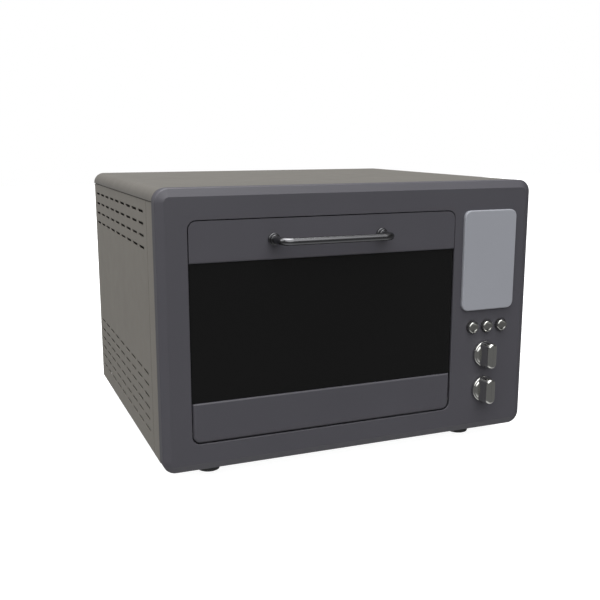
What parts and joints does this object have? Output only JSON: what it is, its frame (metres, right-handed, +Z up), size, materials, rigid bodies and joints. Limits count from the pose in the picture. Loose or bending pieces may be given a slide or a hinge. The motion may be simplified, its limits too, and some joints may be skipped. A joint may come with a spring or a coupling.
{
  "type": "toaster oven",
  "caption": "Countertop toaster oven with a drop-down glass door, bar handle, side control strip with display, buttons and round knobs, and vented casing on feet.",
  "frame": {"origin": "centre of the bounding box, at the surface the feet stand on", "axes": "+X to the right as seen from the front, the front looks towards -Y, +Z up"},
  "size_m": [0.5, 0.4694, 0.352],
  "materials": {
    "bezel_plastic": "satin",
    "cover_paint": "satin",
    "side_paint": "satin",
    "rear_paint": "satin",
    "baffle_paint": "matte",
    "zinc_sheet": "satin",
    "screw_steel": "satin",
    "black_plastic": "matte",
    "foot_rubber": "matte",
    "seal_rubber": "matte",
    "cavity_enamel": "satin",
    "guide_steel": "satin",
    "heater_sheath": "matte",
    "ceramic": "matte",
    "lamp_glass": "gloss",
    "motor_steel": "satin",
    "mineral_wool": "matte",
    "display_pane": "gloss",
    "board_green": "satin",
    "encoder_metal": "satin",
    "knob_chrome": "polished",
    "button_chrome": "polished",
    "door_paint": "satin",
    "door_glass": "gloss",
    "channel_aluminium": "satin",
    "door_inner_steel": "satin",
    "inner_glass": "gloss",
    "handle_chrome": "polished",
    "rack_chrome": "satin",
    "tray_enamel": "gloss",
    "tray_steel": "satin"
  },
  "bodies": {
    "oven": {"front_bezel": "bezel_plastic", "top_cover": "cover_paint", "left_side_panel": "side_paint", "right_side_panel": "side_paint", "roof_rails": "baffle_paint", "vent_baffles": "baffle_paint", "rear_panel": "rear_paint", "rear_screws": "screw_steel", "rear_spacers": "black_plastic", "cable_gland": "black_plastic", "bottom_plate": "zinc_sheet", "feet": "foot_rubber", "front_frame": "zinc_sheet", "door_seal": "seal_rubber", "cavity_floor": "cavity_enamel", "cavity_ceiling": "cavity_enamel", "cavity_left_wall": "cavity_enamel", "cavity_right_wall": "cavity_enamel", "cavity_back_wall": "cavity_enamel", "rack_guides": "guide_steel", "upper_heaters": "heater_sheath", "lower_heaters": "heater_sheath", "heater_insulators": "ceramic", "temperature_probe": "guide_steel", "lamp_lens": "lamp_glass", "lamp_holder": "zinc_sheet", "fan_cover": "cavity_enamel", "fan_motor": "motor_steel", "insulation": "mineral_wool", "divider_shield": "zinc_sheet", "display_window": "display_pane", "display_module": "black_plastic", "control_board": "board_green", "button_switches": "black_plastic", "knob_encoders": "encoder_metal", "power_board": "board_green", "hinge_brackets": "screw_steel"},
    "door": {"door_top_rail": "door_paint", "door_bottom_rail": "door_paint", "door_outer_glass": "door_glass", "door_side_channels": "channel_aluminium", "door_inner_frame": "door_inner_steel", "door_inner_glass": "inner_glass", "door_hinge_pins": "screw_steel", "door_arms": "screw_steel", "handle_bar": "handle_chrome", "handle_flanges": "handle_chrome", "handle_screws": "screw_steel"},
    "rack": {"wire_rack": "rack_chrome"},
    "tray": {"baking_tray": "tray_enamel"},
    "crumb_drawer": {"crumb_tray": "tray_steel"},
    "fan": {"fan_wheel": "guide_steel"},
    "upper_dial": {"upper_knob": "knob_chrome", "upper_knob_shaft": "encoder_metal"},
    "lower_dial": {"lower_knob": "knob_chrome", "lower_knob_shaft": "encoder_metal"},
    "button_one": {"left_button": "button_chrome"},
    "button_two": {"middle_button": "button_chrome"},
    "button_three": {"right_button": "button_chrome"}
  },
  "joints": [
    {"name": "door_hinge", "type": "hinge", "parent": "oven", "child": "door", "pos_m": [-0.04005, -0.1913, 0.0648], "axis": [1, 0, 0], "range_deg": [0, 90], "stiffness_Nm_per_rad": 0.8, "springref_deg": -11.46},
    {"name": "rack_slide", "type": "slide", "parent": "oven", "child": "rack", "axis": [0, -1, 0], "range_m": [0, 0.189]},
    {"name": "tray_slide", "type": "slide", "parent": "oven", "child": "tray", "axis": [0, -1, 0], "range_m": [0, 0.095]},
    {"name": "crumb_slide", "type": "slide", "parent": "oven", "child": "crumb_drawer", "axis": [0, -1, 0], "range_m": [0, 0.0441]},
    {"name": "fan_spin", "type": "hinge", "parent": "oven", "child": "fan", "pos_m": [-0.04, 0.1357, 0.1925], "axis": [0, 1, 0], "continuous": true},
    {"name": "upper_dial_turn", "type": "hinge", "parent": "oven", "child": "upper_dial", "pos_m": [0.1863, -0.1983, 0.124], "axis": [0, 1, 0], "continuous": true},
    {"name": "lower_dial_turn", "type": "hinge", "parent": "oven", "child": "lower_dial", "pos_m": [0.1863, -0.1983, 0.0756], "axis": [0, 1, 0], "continuous": true},
    {"name": "button_one_press", "type": "slide", "parent": "oven", "child": "button_one", "axis": [0, 1, 0], "range_m": [0, 0.0015], "stiffness_N_per_m": 400, "springref_m": -0.002},
    {"name": "button_two_press", "type": "slide", "parent": "oven", "child": "button_two", "axis": [0, 1, 0], "range_m": [0, 0.0015], "stiffness_N_per_m": 400, "springref_m": -0.002},
    {"name": "button_three_press", "type": "slide", "parent": "oven", "child": "button_three", "axis": [0, 1, 0], "range_m": [0, 0.0015], "stiffness_N_per_m": 400, "springref_m": -0.002}
  ],
  "couplings": [
    {"joint": "rack_slide", "follows": "door_hinge", "m_per_rad": 0.12},
    {"joint": "tray_slide", "follows": "door_hinge", "m_per_rad": 0.06},
    {"joint": "crumb_slide", "follows": "door_hinge", "m_per_rad": 0.028}
  ]
}
